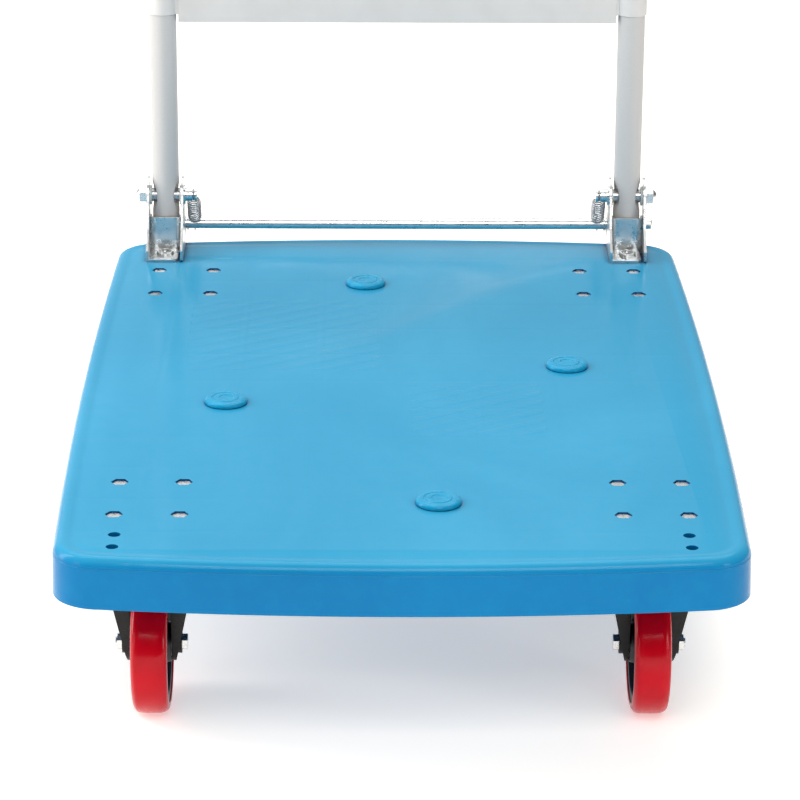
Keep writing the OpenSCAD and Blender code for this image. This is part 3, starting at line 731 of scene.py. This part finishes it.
def tread_finish():
    """Cast red polyurethane: glossy, with slight depth and a few rolling marks."""
    f = Finish("tread", (0.50, 0.002, 0.010), 0.16, Specular_IOR_Level=0.2)
    f.colour(f.blend(f.span(f.noise(45, 4), 0.35, 0.65), (0.47, 0.0, 0.008),
                     (0.53, 0.001, 0.011)))
    f.roughness(f.span(f.noise(60, 4, stretch=(4, 1, 1)), 0.3, 0.75, 0.12, 0.26))
    f.relief((f.noise(120, 2), 0.02 * MM), rounding=0.3 * MM)
    return f.mat


def core_finish():
    f = Finish("core_plastic", (0.014, 0.014, 0.015), 0.4)
    f.colour(f.blend(f.span(f.noise(150, 4), 0.4, 0.7), (0.011, 0.011, 0.012),
                     (0.022, 0.022, 0.024)))
    f.roughness(f.span(f.noise(80, 4), 0.3, 0.7, 0.32, 0.5))
    f.relief((f.noise(800, 2), 0.012 * MM), rounding=0.4 * MM)
    return f.mat


def nylon_finish():
    f = Finish("nylon", (0.72, 0.72, 0.68), 0.45, Subsurface_Weight=0.1)
    f.colour(f.blend(f.span(f.noise(300, 3), 0.4, 0.65), (0.68, 0.68, 0.63), (0.76, 0.76, 0.72)))
    f.relief((f.noise(900, 2), 0.01 * MM), rounding=0.2 * MM)
    return f.mat


ZINC = (0.74, 0.755, 0.755)
finishes = {
    "deck_plastic": deck_finish(),
    "zinc_plate": zinc_finish("zinc_plate", ZINC, 0.31, 220, 0.5 * MM),
    "zinc_fasteners": zinc_finish("zinc_fasteners", (0.78, 0.785, 0.78), 0.28, 500, 0.35 * MM),
    "spring_wire": zinc_finish("spring_wire", (0.46, 0.47, 0.48), 0.3, 700, 0.0),
    "nylon": nylon_finish(),
    "tube_paint": tube_finish(),
    "sleeve_steel": zinc_finish("sleeve_steel", (0.5, 0.5, 0.51), 0.3, 600, 0.2 * MM),
    "panel_plastic": panel_finish(),
    "black_paint": black_finish(),
    "bearing_steel": zinc_finish("bearing_steel", (0.62, 0.63, 0.65), 0.2, 600, 0.2 * MM),
    "tread": tread_finish(),
    "core_plastic": core_finish(),
}
cap_plastic = cap_finish()


def give(made, mat):
    made.data.materials.clear()
    made.data.materials.append(mat)


node_slots = {row["node"]: row["material_slot"] for row in frame["record"]["subparts"]}
for name, made in nodes.items():
    give(made, finishes[node_slots[name]])
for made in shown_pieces():
    if "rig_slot" in made:
        give(made, finishes[made["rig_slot"]])
give(caps, cap_plastic)


# ---------- floor, lights and camera ----------

floor_bm = bmesh.new()
bmesh.ops.create_grid(floor_bm, x_segments=1, y_segments=1, size=40)
floor = piece("floor", floor_bm)
floor_finish = Finish("floor_white", (0.9, 0.9, 0.9), 0.8, Specular_IOR_Level=0.1,
                      Emission_Color=(1, 1, 1, 1), Emission_Strength=0.45)
floor_finish.colour(floor_finish.blend(floor_finish.noise(2, 2), (0.97, 0.915, 0.835),
                                       (0.98, 0.925, 0.845)))
give(floor, floor_finish.mat)


def softbox(name, place, aim, wide, tall, power):
    """A rectangular studio light at place, facing aim."""
    lamp = bpy.data.lights.new(name, "AREA")
    lamp.shape = "RECTANGLE"
    lamp.size, lamp.size_y = wide, tall
    lamp.energy = power
    made = bpy.data.objects.new(name, lamp)
    made.location = place
    made.rotation_euler = (Vector(aim) - Vector(place)).to_track_quat("-Z", "Y").to_euler()
    bpy.context.scene.collection.objects.link(made)


softbox("top_light", (0, 1.6, 3.4), (0, 1.2, 0), 4.0, 3.4, 100)
softbox("key_light", (0.2, -3.2, 3.0), (0, 0, 0.1), 2.6, 1.8, 100)
softbox("left_light", (-2.4, 0.2, 1.3), (0, 0, 0.3), 0.8, 2.4, 42)
softbox("right_light", (2.2, -1.7, 0.7), (0.3, -0.4, 0.1), 0.6, 0.9, 9)
softbox("left_low_light", (-2.2, -1.7, 0.7), (-0.3, -0.4, 0.1), 0.6, 0.9, 6)

world = bpy.data.worlds.new("studio")
world.use_nodes = True
bpy.context.scene.world = world
sky = world.node_tree.nodes["Background"]
sky.inputs["Color"].default_value = (1, 1, 1, 1)
# bright wall behind the handle end, darker room before the open end and on the right
tree = world.node_tree
look = tree.nodes.new("ShaderNodeTexCoord")
split = tree.nodes.new("ShaderNodeSeparateXYZ")
both = tree.nodes.new("ShaderNodeMath")
both.operation = "MULTIPLY"
tree.links.new(look.outputs["Generated"], split.inputs[0])
ramps = [(1, (-0.6, 0.9, 0.12, 0.85)), (0, (-0.8, 0.8, 1.15, 0.35))]
for i, (way, limits) in enumerate(ramps):
    ramp = tree.nodes.new("ShaderNodeMapRange")
    for socket, given in zip(("From Min", "From Max", "To Min", "To Max"), limits):
        ramp.inputs[socket].default_value = given
    tree.links.new(split.outputs[way], ramp.inputs["Value"])
    tree.links.new(ramp.outputs["Result"], both.inputs[i])
tree.links.new(both.outputs[0], sky.inputs["Strength"])

lens = bpy.data.cameras.new("camera")
lens.lens = 155.5
lens.sensor_width = 36
camera = bpy.data.objects.new("camera", lens)
PITCH, YAW, ROLL = (math.radians(a) for a in (20.213, 0.527, 0.312))
CAMERA_AT = Vector((-27.1, -3069.6, 1309.0)) * MM
camera.matrix_world = (Matrix.Translation(CAMERA_AT)
                       @ Matrix.Rotation(-YAW, 4, "Z")
                       @ Matrix.Rotation(math.pi / 2 - PITCH, 4, "X")
                       @ Matrix.Rotation(ROLL, 4, "Z"))
bpy.context.scene.collection.objects.link(camera)
bpy.context.scene.camera = camera
bpy.context.scene.view_settings.view_transform = "Standard"
